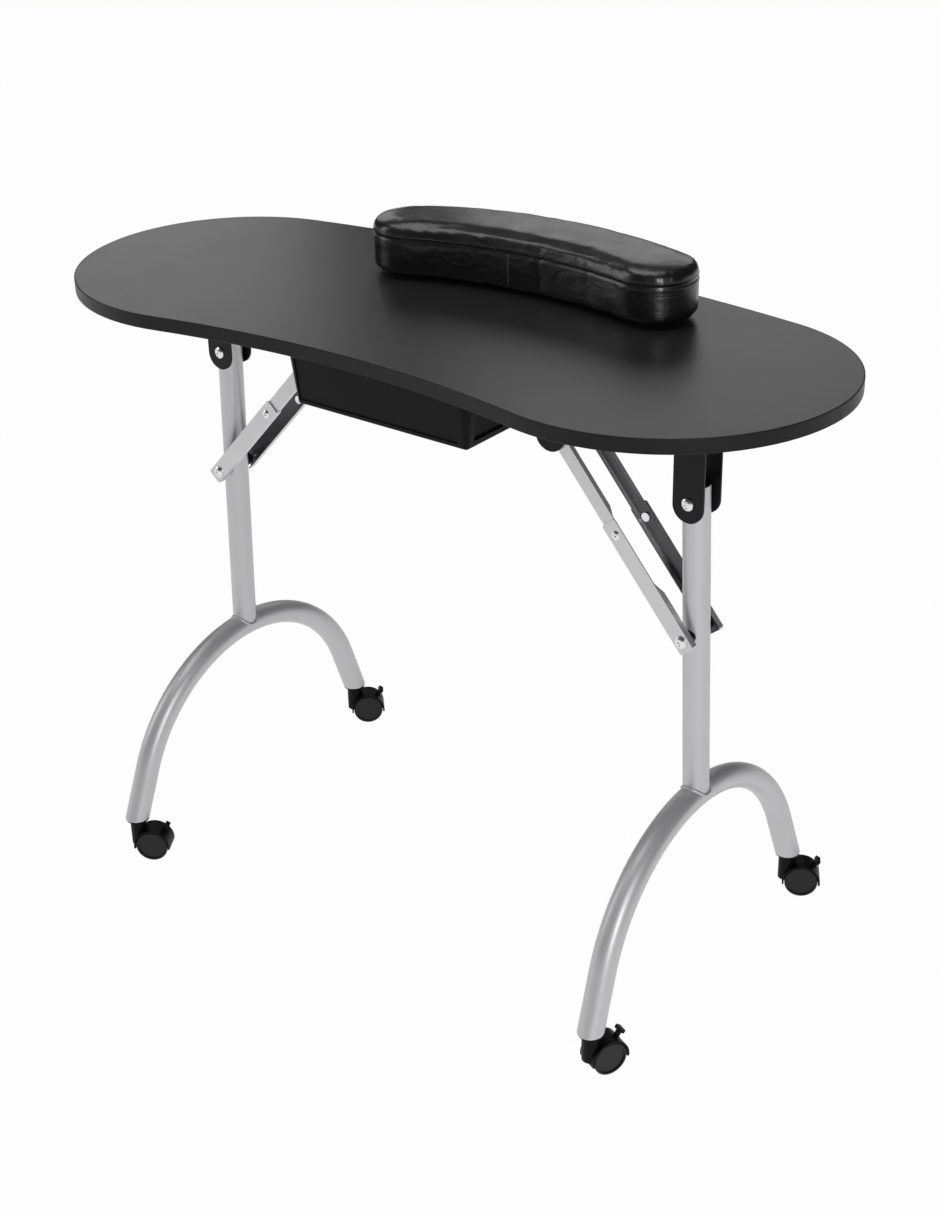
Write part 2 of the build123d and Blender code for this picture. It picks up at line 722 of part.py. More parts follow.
def make_caster(side, face):
    """Twin wheel caster: moulded fork and hood, steel stem, two wheels on an axle, brake lever."""
    name = f"{face}_{side}_caster"
    plane = caster_plane(side, face)
    boss_top = foot_height - socket_collar - side_clearance
    hood_inner = wheel_radius + wheel_hood_gap
    hood_outer = hood_inner + hood_thickness
    hood_width = fork_width + 2 * (wheel_width + wheel_gap)
    wheel_centre = (caster_trail, wheel_radius)
    pivot_angle = radians(brake_pivot_angle)
    pivot = (
        caster_trail + brake_pivot_radius * cos(pivot_angle),
        wheel_radius + brake_pivot_radius * sin(pivot_angle),
    )
    slot_half = brake_arm / 2 + side_clearance
    tip = hood_outer + brake_reach

    with BuildPart() as hood:
        with BuildSketch(plane):
            with Locations(wheel_centre):
                Circle(hood_outer)
            with Locations((caster_trail, wheel_radius - hood_outer)):
                skirt = hood_outer - hood_outer * sin(radians(hood_skirt_angle))
                Rectangle(2 * hood_outer, 2 * skirt, mode=Mode.SUBTRACT)
            with Locations(wheel_centre):
                Circle(axle_diameter)
        extrude(amount=hood_width / 2, both=True)
        with BuildSketch(Plane(origin=plane.from_local_coords((0, wheel_radius, 0)), z_dir=(0, 0, 1))):
            Circle(stem_boss_diameter / 2)
        extrude(amount=boss_top - wheel_radius)
        for outwards in (-1, 1):
            pocket = plane.offset(outwards * fork_width / 2)
            with BuildSketch(pocket):
                with Locations(wheel_centre):
                    Circle(hood_inner)
            extrude(amount=outwards * hood_width, mode=Mode.SUBTRACT)
        with BuildSketch(plane):
            with Locations(wheel_centre):
                Circle(axle_diameter / 2 + running_fit)
        extrude(amount=fork_width, both=True, mode=Mode.SUBTRACT)
        with BuildSketch(Plane(origin=plane.from_local_coords((0, boss_top, 0)), z_dir=(0, 0, -1))):
            Circle(stem_diameter / 2)
        extrude(amount=stem_reach, mode=Mode.SUBTRACT)
        with BuildSketch(plane):
            for angle in (brake_rest_angle, brake_rest_angle - brake_stroke / 2, brake_rest_angle - brake_stroke):
                with Locations(Location((pivot[0], pivot[1], 0), (0, 0, angle))):
                    with Locations((tip / 2, 0)):
                        Rectangle(tip, 2 * slot_half + 2 * slot_half * sin(radians(brake_stroke)))
            with Locations(pivot):
                Circle(slot_half + side_clearance)
        extrude(amount=brake_width / 2 + side_clearance, both=True, mode=Mode.SUBTRACT)
        with BuildSketch(plane):
            with Locations(pivot):
                Circle(brake_pin_diameter / 2)
        extrude(amount=fork_width / 2, both=True)
    finish(hood.part, f"{name}_hood")

    with BuildPart() as stem:
        with BuildSketch(Plane(origin=plane.from_local_coords((0, boss_top - stem_reach, 0)), z_dir=(0, 0, 1))):
            Circle(stem_diameter / 2)
        extrude(amount=stem_reach + side_clearance + socket_collar + stem_reach)
        chamfer(stem.edges().sort_by(Axis.Z)[-1], stem_diameter / 8)
    finish(stem.part, f"{name}_stem")

    with BuildPart() as wheels:
        for outwards in (-1, 1):
            inner = plane.offset(outwards * (fork_width / 2 + wheel_gap))
            with BuildSketch(inner):
                with Locations(wheel_centre):
                    Circle(wheel_radius)
            extrude(amount=outwards * (wheel_width - wheel_gap))
            outer = plane.offset(outwards * (fork_width / 2 + wheel_width))
            with BuildSketch(outer):
                with Locations(wheel_centre):
                    Circle(wheel_radius - wheel_rim)
            extrude(amount=-outwards * wheel_dish, mode=Mode.SUBTRACT)
        tread_edges = wheels.edges().filter_by(GeomType.CIRCLE).filter_by(lambda edge: edge.radius > wheel_radius - wheel_rim / 2)
        fillet(tread_edges, tread_round)
        with BuildSketch(plane):
            with Locations(wheel_centre):
                Circle(axle_diameter / 2)
        extrude(amount=fork_width / 2 + wheel_width - wheel_dish, both=True)
    finish(wheels.part, f"{name}_wheels")

    with BuildPart() as brake:
        with BuildSketch(plane):
            with Locations(Location((pivot[0], pivot[1], 0), (0, 0, brake_rest_angle))):
                with Locations((brake_reach / 2, 0)):
                    Rectangle(brake_reach, brake_arm)
            with Locations(pivot):
                Circle(brake_arm / 2 + side_clearance)
        extrude(amount=brake_width / 2, both=True)
        with BuildSketch(plane):
            with Locations(Location((pivot[0], pivot[1], 0), (0, 0, brake_rest_angle))):
                with Locations((brake_reach - brake_arm / 2, 0)):
                    Rectangle(brake_arm, brake_arm * 1.4)
        extrude(amount=brake_pad_width / 2, both=True)
        with BuildSketch(plane):
            with Locations(pivot):
                Circle(brake_pin_diameter / 2 + running_fit)
        extrude(amount=brake_width, both=True, mode=Mode.SUBTRACT)
    finish(brake.part, f"{name}_brake")


os.makedirs("parts", exist_ok=True)
make_top()
for leg_side in side_sign:
    make_arch(leg_side)
    make_post(leg_side)
    make_brackets(leg_side)
    make_hinge_bolt(leg_side)
    make_brace_rod(leg_side)
    make_brace_pivots(leg_side)
    for leg_face in face_sign:
        make_brace(leg_side, leg_face)
        make_socket(leg_side, leg_face)
        make_caster(leg_side, leg_face)
make_bracket_screws()
make_drawer()
make_rails()
make_cushion()
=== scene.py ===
# %% [markdown]
# # A folding manicure table
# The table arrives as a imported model: every tube, bracket, link, wheel and screw
# is already in its place, in metres. This script dresses it. It gives each piece
# a finish, makes the padded wrist cushion, and sets a soft studio round it.

# %% Load the table
import json
from math import atan2, cos, exp, pi, radians, sin, sqrt, tau

import bmesh
import bpy
from mathutils import Matrix, Vector
from mathutils.bvhtree import BVHTree


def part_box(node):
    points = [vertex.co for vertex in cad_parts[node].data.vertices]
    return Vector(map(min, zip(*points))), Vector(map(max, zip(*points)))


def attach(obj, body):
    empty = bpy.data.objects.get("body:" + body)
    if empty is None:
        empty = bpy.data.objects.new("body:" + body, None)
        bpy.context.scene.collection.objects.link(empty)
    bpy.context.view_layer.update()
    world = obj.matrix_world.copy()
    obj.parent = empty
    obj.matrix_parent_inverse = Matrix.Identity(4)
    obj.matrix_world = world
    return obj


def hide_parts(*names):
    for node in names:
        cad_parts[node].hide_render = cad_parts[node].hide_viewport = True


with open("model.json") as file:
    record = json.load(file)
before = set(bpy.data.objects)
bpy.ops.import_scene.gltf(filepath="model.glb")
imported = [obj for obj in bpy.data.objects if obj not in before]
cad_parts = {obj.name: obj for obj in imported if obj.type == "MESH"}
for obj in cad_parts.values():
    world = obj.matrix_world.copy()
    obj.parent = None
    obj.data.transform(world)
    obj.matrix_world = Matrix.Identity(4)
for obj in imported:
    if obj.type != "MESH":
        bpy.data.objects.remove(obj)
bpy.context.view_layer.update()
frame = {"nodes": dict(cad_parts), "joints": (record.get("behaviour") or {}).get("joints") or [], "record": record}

nodes = frame["nodes"]

# %% [markdown]
# Many pieces are made the same way: a bmesh is shaped, turned into an object,
# given a finish and hung on the body that carries it. One helper does the last
# three steps, so each later cell is only about shape.

# %% Turn a bmesh into a piece
def make_piece(name, shape, finish, body, smooth=True):
    bmesh.ops.recalc_face_normals(shape, faces=shape.faces)
    for face in shape.faces:
        face.smooth = smooth
    mesh = bpy.data.meshes.new(name)
    shape.to_mesh(mesh)
    shape.free()
    mesh.materials.append(finish)
    piece = bpy.data.objects.new(name, mesh)
    bpy.context.scene.collection.objects.link(piece)
    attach(piece, body)
    return piece


# %% [markdown]
# ## Shared surface effects
# Paint, plastic and sheet metal are never perfectly even. Three effects come up
# again and again: a fine grain that breaks up the gloss, faint smudges from
# handling, and dust that settles on faces that look up. Each is a node group
# with its own inputs, so every finish can use it with its own values.

# %% Helpers for node trees
def new_group(name, inputs, outputs):
    group = bpy.data.node_groups.new(name, "ShaderNodeTree")
    for label, kind, value in inputs:
        socket = group.interface.new_socket(label, in_out="INPUT", socket_type=kind)
        if value is not None:
            socket.default_value = value
    for label, kind in outputs:
        group.interface.new_socket(label, in_out="OUTPUT", socket_type=kind)
    return group, group.nodes.new("NodeGroupInput"), group.nodes.new("NodeGroupOutput")


def add_node(tree, kind, **settings):
    node = tree.nodes.new(kind)
    for key, value in settings.items():
        setattr(node, key, value)
    return node


# %% Grain: an even, fine unevenness of gloss and height
def build_grain():
    group, given, put = new_group(
        "Fine grain",
        [("Vector", "NodeSocketVector", None), ("Scale", "NodeSocketFloat", 400.0),
         ("Low", "NodeSocketFloat", 0.3), ("High", "NodeSocketFloat", 0.5)],
        [("Height", "NodeSocketFloat"), ("Roughness", "NodeSocketFloat")],
    )
    noise = add_node(group, "ShaderNodeTexNoise")
    noise.inputs["Detail"].default_value = 4
    spread = add_node(group, "ShaderNodeMapRange")
    spread.inputs["From Min"].default_value = 0.3
    spread.inputs["From Max"].default_value = 0.7
    link = group.links.new
    link(given.outputs["Vector"], noise.inputs["Vector"])
    link(given.outputs["Scale"], noise.inputs["Scale"])
    link(given.outputs["Low"], spread.inputs["To Min"])
    link(given.outputs["High"], spread.inputs["To Max"])
    link(noise.outputs["Fac"], spread.inputs["Value"])
    link(noise.outputs["Fac"], put.inputs["Height"])
    link(spread.outputs["Result"], put.inputs["Roughness"])
    return group


grain_group = build_grain()


# %% Smudges: soft, large patches where hands and cloths have been
def build_smudges():
    group, given, put = new_group(
        "Smudges",
        [("Vector", "NodeSocketVector", None), ("Scale", "NodeSocketFloat", 12.0),
         ("Amount", "NodeSocketFloat", 1.0)],
        [("Mask", "NodeSocketFloat")],
    )
    cloud = add_node(group, "ShaderNodeTexNoise")
    cloud.inputs["Detail"].default_value = 6
    cloud.inputs["Distortion"].default_value = 1.2
    cut = add_node(group, "ShaderNodeMapRange")
    cut.inputs["From Min"].default_value = 0.45
    cut.inputs["From Max"].default_value = 0.72
    link = group.links.new
    link(given.outputs["Vector"], cloud.inputs["Vector"])
    link(given.outputs["Scale"], cloud.inputs["Scale"])
    link(given.outputs["Amount"], cut.inputs["To Max"])
    link(cloud.outputs["Fac"], cut.inputs["Value"])
    link(cut.outputs["Result"], put.inputs["Mask"])
    return group


smudge_group = build_smudges()


# %% Dust: settles on faces that look up, and in patches
def build_dust():
    group, given, put = new_group(
        "Settled dust",
        [("Vector", "NodeSocketVector", None), ("Color", "NodeSocketColor", None),
         ("Amount", "NodeSocketFloat", 0.05)],
        [("Color", "NodeSocketColor")],
    )
    facing = add_node(group, "ShaderNodeNewGeometry")
    parts = add_node(group, "ShaderNodeSeparateXYZ")
    upward = add_node(group, "ShaderNodeMapRange")
    upward.inputs["From Min"].default_value = 0.2
    specks = add_node(group, "ShaderNodeTexNoise")
    specks.inputs["Scale"].default_value = 90
    both = add_node(group, "ShaderNodeMath", operation="MULTIPLY")
    amount = add_node(group, "ShaderNodeMath", operation="MULTIPLY")
    mix = add_node(group, "ShaderNodeMix", data_type="RGBA")
    mix.inputs["B"].default_value = (0.45, 0.43, 0.4, 1)
    link = group.links.new
    link(given.outputs["Vector"], specks.inputs["Vector"])
    link(facing.outputs["Normal"], parts.inputs["Vector"])
    link(parts.outputs["Z"], upward.inputs["Value"])
    link(upward.outputs["Result"], both.inputs[0])
    link(specks.outputs["Fac"], both.inputs[1])
    link(both.outputs["Value"], amount.inputs[0])
    link(given.outputs["Amount"], amount.inputs[1])
    link(amount.outputs["Value"], mix.inputs["Factor"])
    link(given.outputs["Color"], mix.inputs["A"])
    link(mix.outputs["Result"], put.inputs["Color"])
    return group


dust_group = build_dust()
print("groups:", [group.name for group in bpy.data.node_groups])


# %% [markdown]
# ## Finishes
# Each finish starts from the same few nodes: object coordinates, a Principled
# shader and a bump. The helper sets the plain values on the shader's own
# sockets, and the cell for each finish adds what is special about it.

# %% Start a finish
def start_finish(name, color, **values):
    finish = bpy.data.materials.new(name)
    finish.use_nodes = True
    tree = finish.node_tree
    shader = tree.nodes["Principled BSDF"]
    shader.inputs["Base Color"].default_value = (*color, 1)
    for label, value in values.items():
        shader.inputs[label.replace("_", " ")].default_value = value
    place = tree.nodes.new("ShaderNodeTexCoord").outputs["Object"]
    return finish, tree, shader, place


def add_group(tree, group, place, **values):
    node = tree.nodes.new("ShaderNodeGroup")
    node.node_tree = group
    tree.links.new(place, node.inputs["Vector"])
    for label, value in values.items():
        node.inputs[label].default_value = value
    return node


def add_bump(tree, shader, height, distance, strength=1.0):
    bump = tree.nodes.new("ShaderNodeBump")
    bump.inputs["Distance"].default_value = distance
    bump.inputs["Strength"].default_value = strength
    tree.links.new(height, bump.inputs["Height"])
    tree.links.new(bump.outputs["Normal"], shader.inputs["Normal"])
    return bump


def grain_and_smudge(tree, shader, place, scale, low, high, depth, smudge):
    """Grain drives roughness and bump; smudges raise the roughness a little in patches."""
    grain = add_group(tree, grain_group, place, Scale=scale, Low=low, High=high)
    smudges = add_group(tree, smudge_group, place, Amount=smudge)
    total = add_node(tree, "ShaderNodeMath", operation="ADD")
    tree.links.new(grain.outputs["Roughness"], total.inputs[0])
    tree.links.new(smudges.outputs["Mask"], total.inputs[1])
    tree.links.new(total.outputs["Value"], shader.inputs["Roughness"])
    add_bump(tree, shader, grain.outputs["Height"], depth)


def dusty(tree, shader, place, color, amount):
    dust = add_group(tree, dust_group, place, Amount=amount)
    dust.inputs["Color"].default_value = (*color, 1)
    tree.links.new(dust.outputs["Color"], shader.inputs["Base Color"])


# %% Black laminate of the top
laminate_black = (0.012, 0.012, 0.0125)
laminate, tree, shader, place = start_finish("Black laminate", laminate_black, Specular_IOR_Level=0.55)
grain_and_smudge(tree, shader, place, scale=900, low=0.31, high=0.37, depth=0.00005, smudge=0.012)
dusty(tree, shader, place, laminate_black, amount=0.01)

# %% Black edge band
edging, tree, shader, place = start_finish("Black edging", (0.007, 0.007, 0.0075), Specular_IOR_Level=0.22)
grain_and_smudge(tree, shader, place, scale=700, low=0.34, high=0.46, depth=0.00005, smudge=0.06)

# %% Silver paint of the tubes
silver_paint, tree, shader, place = start_finish(
    "Silver metallic paint", (0.66, 0.66, 0.68), Metallic=0.45, Coat_Weight=0.2, Coat_Roughness=0.3
)
grain_and_smudge(tree, shader, place, scale=1500, low=0.36, high=0.5, depth=0.00003, smudge=0.05)

# %% Black powder coat of the brackets
powder_coat, tree, shader, place = start_finish(
    "Black powder coat", (0.006, 0.006, 0.0065), Specular_IOR_Level=0.2
)
grain_and_smudge(tree, shader, place, scale=1100, low=0.35, high=0.5, depth=0.00012, smudge=0.05)

# %% Bright zinc of bolts, nuts and screws
zinc, tree, shader, place = start_finish("Bright zinc plate", (0.78, 0.78, 0.79), Metallic=1.0)
grain_and_smudge(tree, shader, place, scale=900, low=0.16, high=0.3, depth=0.00003, smudge=0.08)

# %% Stamped sheet of the braces
plated_grey = (0.68, 0.68, 0.69)
# painted shade: the dark colour given to the hollow side of the braces, for the shadow they lie in
hollow_side_painted_shade = (0.10, 0.10, 0.105)
sheet_steel, tree, shader, place = start_finish("Plated sheet steel", plated_grey, Metallic=0.7)
grain_and_smudge(tree, shader, place, scale=600, low=0.32, high=0.48, depth=0.00004, smudge=0.08)

# %% [markdown]
# The braces are folded from plated strip. Their hollow side lies in shade under
# the top, and that shade is painted in: those faces get a dark base colour. A
# face is on the hollow side if it looks towards the plane of the posts.

# %% Paint shade on the hollow side of the braces
def paint_shade_on_hollow_side(tree, shader, place, color, dark, middle):
    normal = add_node(tree, "ShaderNodeNewGeometry")
    facing = add_node(tree, "ShaderNodeSeparateXYZ")
    spot = add_node(tree, "ShaderNodeSeparateXYZ")
    from_middle = add_node(tree, "ShaderNodeMath", operation="SUBTRACT")
    from_middle.inputs[1].default_value = middle
    product = add_node(tree, "ShaderNodeMath", operation="MULTIPLY")
    inward = add_node(tree, "ShaderNodeMath", operation="LESS_THAN")
    inward.inputs[1].default_value = -0.005  # under zero, so faces seen edge-on stay bright
    mix = add_node(tree, "ShaderNodeMix", data_type="RGBA")
    mix.inputs["A"].default_value = (*color, 1)
    mix.inputs["B"].default_value = (*dark, 1)
    tree.links.new(normal.outputs["Normal"], facing.inputs["Vector"])
    tree.links.new(place, spot.inputs["Vector"])
    tree.links.new(spot.outputs["Y"], from_middle.inputs[0])
    tree.links.new(from_middle.outputs["Value"], product.inputs[0])
    tree.links.new(facing.outputs["Y"], product.inputs[1])
    tree.links.new(product.outputs["Value"], inward.inputs[0])
    tree.links.new(inward.outputs["Value"], mix.inputs["Factor"])
    tree.links.new(mix.outputs["Result"], shader.inputs["Base Color"])


leg_joints = [joint for joint in frame["joints"] if joint["name"].endswith("_leg_fold")]
hinge_of = {joint["name"]: joint["pos_m"] for joint in leg_joints}
post_plane_y = hinge_of["left_leg_fold"][1]
# paints shade into the colour of the brace faces that look towards the posts
paint_shade_on_hollow_side(tree, shader, place, plated_grey, hollow_side_painted_shade, post_plane_y)

# %% Black moulded plastic
plastic_black = (0.004, 0.004, 0.0044)
plastic, tree, shader, place = start_finish("Black moulded plastic", plastic_black, Specular_IOR_Level=0.1)
grain_and_smudge(tree, shader, place, scale=1300, low=0.34, high=0.5, depth=0.0001, smudge=0.05)
dusty(tree, shader, place, plastic_black, amount=0.006)

# %% Hard nylon of the wheels
nylon, tree, shader, place = start_finish("Black nylon", (0.008, 0.008, 0.0085), Specular_IOR_Level=0.3)
grain_and_smudge(tree, shader, place, scale=800, low=0.3, high=0.42, depth=0.00006, smudge=0.08)

# %% Raw board under the cushion
raw_board, tree, shader, place = start_finish("Raw board", (0.36, 0.27, 0.17))
grain_and_smudge(tree, shader, place, scale=500, low=0.7, high=0.85, depth=0.0002, smudge=0.02)

# %% [markdown]
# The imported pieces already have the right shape, so each keeps its mesh and only
# gets its finish. The record says which material slot a node belongs to.

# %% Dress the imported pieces
finish_of_slot = {
    "laminate": laminate, "edge_band": edging, "silver_tube": silver_paint, "black_steel": powder_coat,
    "zinc": zinc, "stamped_steel": sheet_steel, "black_plastic": plastic, "wheel_plastic": nylon,
    "base_board": raw_board,
}
for entry in frame["record"]["subparts"]:
    finish = finish_of_slot.get(entry["material_slot"])
    if finish is not None:
        mesh = nodes[entry["node"]].data
        mesh.materials.clear()
        mesh.materials.append(finish)
print("dressed with", len(finish_of_slot), "finishes")

# %% [markdown]
# ## The wrist cushion
# The cushion is foam on a thin board, pulled into a cover of glossy synthetic
# leather. The cover's top panel meets its side band in a seam just below the
# upper edge. Air pressure in a cloth simulation gives the full, slightly uneven
# swell that foam gives a cover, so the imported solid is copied, filled to a
# plain block and inflated a few millimetres. Lengths are in metres.

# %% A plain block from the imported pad
pad_low, pad_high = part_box("cushion_pad")
base_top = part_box("cushion_base")[1].z
board_reach = 0.0002  # points of the pad this little above its board count as pocket
cloth_voxel, cloth_pressure, cloth_frames, most_swell = 0.005, 5.0, 20, 0.004
foam_support = 0.85  # share of any sinking that the foam takes back
swell_low = Vector((0.002, -0.003, 0))
swell_high = Vector((0.005, 0.002, 0.006))
tuck_height, tuck_depth = 0.011, 0.0077
seam_drop = 0.013


def block_from_pad():
    """The pad's own mesh, with the pocket for the board closed up."""
    block = bmesh.new()
    block.from_mesh(nodes["cushion_pad"].data)
    bmesh.ops.remove_doubles(block, verts=block.verts, dist=1e-6)
    for vert in block.verts:
        if vert.co.z < base_top + board_reach:
            vert.co.z = pad_low.z
    bmesh.ops.dissolve_degenerate(block, edges=block.edges, dist=1e-6)
    return block


# %% Inflate it as cloth
def inflate(piece, voxel, pressure, frames, most):
    """Remesh evenly, blow up a little, and keep every point within a short way of its start."""
    remesh = piece.modifiers.new("Even mesh", "REMESH")
    remesh.mode = "VOXEL"
    remesh.voxel_size = voxel
    apply_modifiers(piece)
    start = [(vert.co.copy(), vert.normal.copy()) for vert in piece.data.vertices]
    cloth = piece.modifiers.new("Cloth", "CLOTH")
    cloth.settings.use_pressure = True
    cloth.settings.uniform_pressure_force = pressure
    cloth.settings.effector_weights.gravity = 0
    scene = bpy.context.scene
    for step in range(1, frames + 1):
        scene.frame_set(step)
    apply_modifiers(piece)
    scene.frame_set(1)
    for vert, (rest, outwards) in zip(piece.data.vertices, start):
        move = vert.co - rest
        sunk = min(0.0, move.dot(outwards))
        move -= outwards * sunk * foam_support
        if move.length > most:
            move *= most / move.length
        vert.co = rest + move


def apply_modifiers(piece):
    graph = bpy.context.evaluated_depsgraph_get()
    done = bpy.data.meshes.new_from_object(piece.evaluated_get(graph))
    piece.modifiers.clear()
    old = piece.data
    piece.data = done
    bpy.data.meshes.remove(old)


# %% Glossy creased leather
leather, tree, shader, place = start_finish(
    "Glossy creased leather", (0.005, 0.005, 0.0055), Coat_Weight=0.3, Coat_Roughness=0.18
)
crease_share, fold_share = 0.14, 2.0


def leather_height(tree, place):
    """A net of fine creases and broad soft folds, added up as one height."""
    creases = add_node(tree, "ShaderNodeTexNoise", noise_type="RIDGED_MULTIFRACTAL")
    creases.inputs["Scale"].default_value = 30
    creases.inputs["Detail"].default_value = 2.5
    creases.inputs["Distortion"].default_value = 0.8
    folds = add_node(tree, "ShaderNodeTexNoise")
    folds.inputs["Scale"].default_value = 22
    folds.inputs["Distortion"].default_value = 1.5
    slant = add_node(tree, "ShaderNodeMapping")
    slant.inputs["Rotation"].default_value = (0.0, radians(35), 0.0)
    slant.inputs["Scale"].default_value = (1.0, 0.8, 2.4)
    tree.links.new(place, slant.inputs["Vector"])
    tree.links.new(slant.outputs["Vector"], creases.inputs["Vector"])
    tree.links.new(slant.outputs["Vector"], folds.inputs["Vector"])
    height = None
    for source, share in ((creases.outputs["Fac"], crease_share), (folds.outputs["Fac"], fold_share)):
        part = add_node(tree, "ShaderNodeMath", operation="MULTIPLY_ADD")
        part.inputs[1].default_value = share
        tree.links.new(source, part.inputs[0])
        if height is not None:
            tree.links.new(height, part.inputs[2])
        else:
            part.inputs[2].default_value = 0
        height = part.outputs["Value"]
    return height


leather_grain = add_group(tree, grain_group, place, Scale=35, Low=0.3, High=0.4)
tree.links.new(leather_grain.outputs["Roughness"], shader.inputs["Roughness"])
add_bump(tree, shader, leather_height(tree, place), distance=0.0011, strength=0.7)

# %% Make the cushion
seam_height = pad_high.z - seam_drop
cushion = make_piece("wrist_cushion_cover", block_from_pad(), leather, "wrist_cushion")
inflate(cushion, cloth_voxel, cloth_pressure, cloth_frames, most_swell)


def fit_to_box(piece, low, high):
    """Stretch a mesh so that it fills a box."""
    found = [Vector(f(vert.co[i] for vert in piece.data.vertices) for i in range(3)) for f in (min, max)]
    for vert in piece.data.vertices:
        for i in range(3):
            share = (vert.co[i] - found[0][i]) / (found[1][i] - found[0][i])
            vert.co[i] = low[i] + share * (high[i] - low[i])


fit_to_box(cushion, pad_low + swell_low, pad_high + swell_high)
smoothed = cushion.modifiers.new("Even out", "SMOOTH")
smoothed.iterations = 3
finer = cushion.modifiers.new("Finer", "SUBSURF")
finer.levels = finer.render_levels = 2
apply_modifiers(cushion)
normals = [vert.normal.copy() for vert in cushion.data.vertices]
for vert, normal in zip(cushion.data.vertices, normals):
    up = (vert.co.z - pad_low.z) / tuck_height
    if up < 1:
        outwards = Vector((normal.x, normal.y, 0))
        vert.co -= outwards * tuck_depth * (1 - sqrt(max(0.0, 1 - (1 - up) ** 2)))
for face in cushion.data.polygons:
    face.use_smooth = True
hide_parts("cushion_pad", "cushion_base")
print("cushion cover:", len(cushion.data.polygons), "faces")

# %% [markdown]
# A seam is where two panels are turned in and sewn, so it reads as a shallow
# valley with a row of stitches on each side. The remesh is too coarse to keep
# one, so the valley is pressed into the finished surface, and the threads are
# laid on it afterwards along a slice through the mesh.

# %% Press seams into the cover
seam_depth, seam_width = 0.0011, 0.0017
flat_fade = 1.2  # how fast a seam fades out where the cover turns to the top or bottom
faces_near_side = -0.3  # a normal's Y below this looks to the near side
upright_seam_x = pad_low.x + 0.47 * (pad_high.x - pad_low.x)
near_side_y = (pad_low.y + pad_high.y) / 2


def valley(distance):
    return seam_depth * exp(-((distance / seam_width) ** 2))


normals = [vert.normal.copy() for vert in cushion.data.vertices]
for vert, normal in zip(cushion.data.vertices, normals):
    sideways = max(0.0, 1 - abs(normal.z) * flat_fade)
    depth = valley(vert.co.z - seam_height)
    if vert.co.z < seam_height and normal.y < faces_near_side and vert.co.y < near_side_y:
        depth = max(depth, valley(vert.co.x - upright_seam_x))
    vert.co -= normal * depth * sideways
print("seam pressed in at", round(seam_height * 1000), "mm")


# %% Find the line where a plane cuts a mesh
def slice_line(piece, point, normal):
    """Ordered points of the longest loop or line where a plane cuts the piece."""
    copy = bmesh.new()
    copy.from_mesh(piece.data)
    everything = copy.verts[:] + copy.edges[:] + copy.faces[:]
    cut = bmesh.ops.bisect_plane(copy, geom=everything, plane_co=point, plane_no=normal)
    edges = {item for item in cut["geom_cut"] if isinstance(item, bmesh.types.BMEdge)}
    lines = []
    while edges:
        first = edges.pop()
        line = list(first.verts)
        grew = True
        while grew:
            following = next((edge for edge in line[-1].link_edges if edge in edges), None)
            grew = following is not None
            if grew:
                edges.discard(following)
                line.append(following.other_vert(line[-1]))
        lines.append([vert.co.copy() for vert in line])
    copy.free()
    return max(lines, key=len)


def evenly(points, pitch):
    """Points a fixed pitch apart along a line, each with the line's direction there."""
    spots, carried = [], 0.0
    for a, b in zip(points, points[1:]):
        length = (b - a).length
        while carried <= length and length > 0:
            spots.append((a.lerp(b, carried / length), (b - a).normalized()))
            carried += pitch
        carried -= length
    return spots


# %% Lay stitches along lines
thread, tree, shader, place = start_finish("Waxed thread", (0.02, 0.02, 0.022))
grain_and_smudge(tree, shader, place, scale=2500, low=0.35, high=0.5, depth=0.00005, smudge=0.0)


def sew(name, lines, pitch, stitch, thickness):
    """Long beads of thread along the lines, each sunk by a quarter of its thickness."""
    surface = BVHTree.FromPolygons(
        [vert.co for vert in cushion.data.vertices], [face.vertices for face in cushion.data.polygons]
    )
    rows = bmesh.new()
    for line in lines:
        for spot, along in evenly(line, pitch):
            ground, up, _, _ = surface.find_nearest(spot)
            across = up.cross(along).normalized()
            turn = Matrix((along, across, along.cross(across))).transposed().to_4x4()
            size = Matrix.Diagonal((stitch / thickness, 1, 1, 1))
            bmesh.ops.create_uvsphere(
                rows, u_segments=6, v_segments=5, radius=thickness / 2,
                matrix=Matrix.Translation(ground + up * thickness * 0.25) @ turn @ size,
            )
    return make_piece(name, rows, thread, "wrist_cushion")


gap = 0.0028
stitch_pitch, stitch_length, thread_thickness = 0.0042, 0.0031, 0.0007
lowest_stitch = pad_low.z + 0.012
level_lines = [slice_line(cushion, (0, 0, seam_height + side * gap), (0, 0, 1)) for side in (-1, 1)]
upright_lines = []
for side in (-1, 1):
    ring = slice_line(cushion, (upright_seam_x + side * gap, 0, 0), (1, 0, 0))
    near = [
        spot for spot in ring
        if spot.y < near_side_y and lowest_stitch < spot.z < seam_height - 2 * gap
    ]
    upright_lines.append(sorted(near, key=lambda spot: spot.z))
stitches = sew(
    "cushion_stitches", level_lines + upright_lines, stitch_pitch, stitch_length, thread_thickness
)
print("stitches:", len(stitches.data.polygons), "faces")

# %% [markdown]
# ## Weld beads
# Each post is coped over its arch and welded all round. The bead is a small ring
# that rides up and down over the round back of the arch, with the even ripples
# that a welder leaves. A circle spun round the post gives the ring, and its
# points then follow the saddle where two tubes meet.

# %% Make the beads
leg_lean = radians(2)
arch_bend_radius = 0.188
bead_radius = 0.0021
bead_stand_off = 0.0002
ripples, ripple_share = 38, 0.012
lowest_share = 0.3  # of the tube's radius: the bead stays this far above the arch's middle line


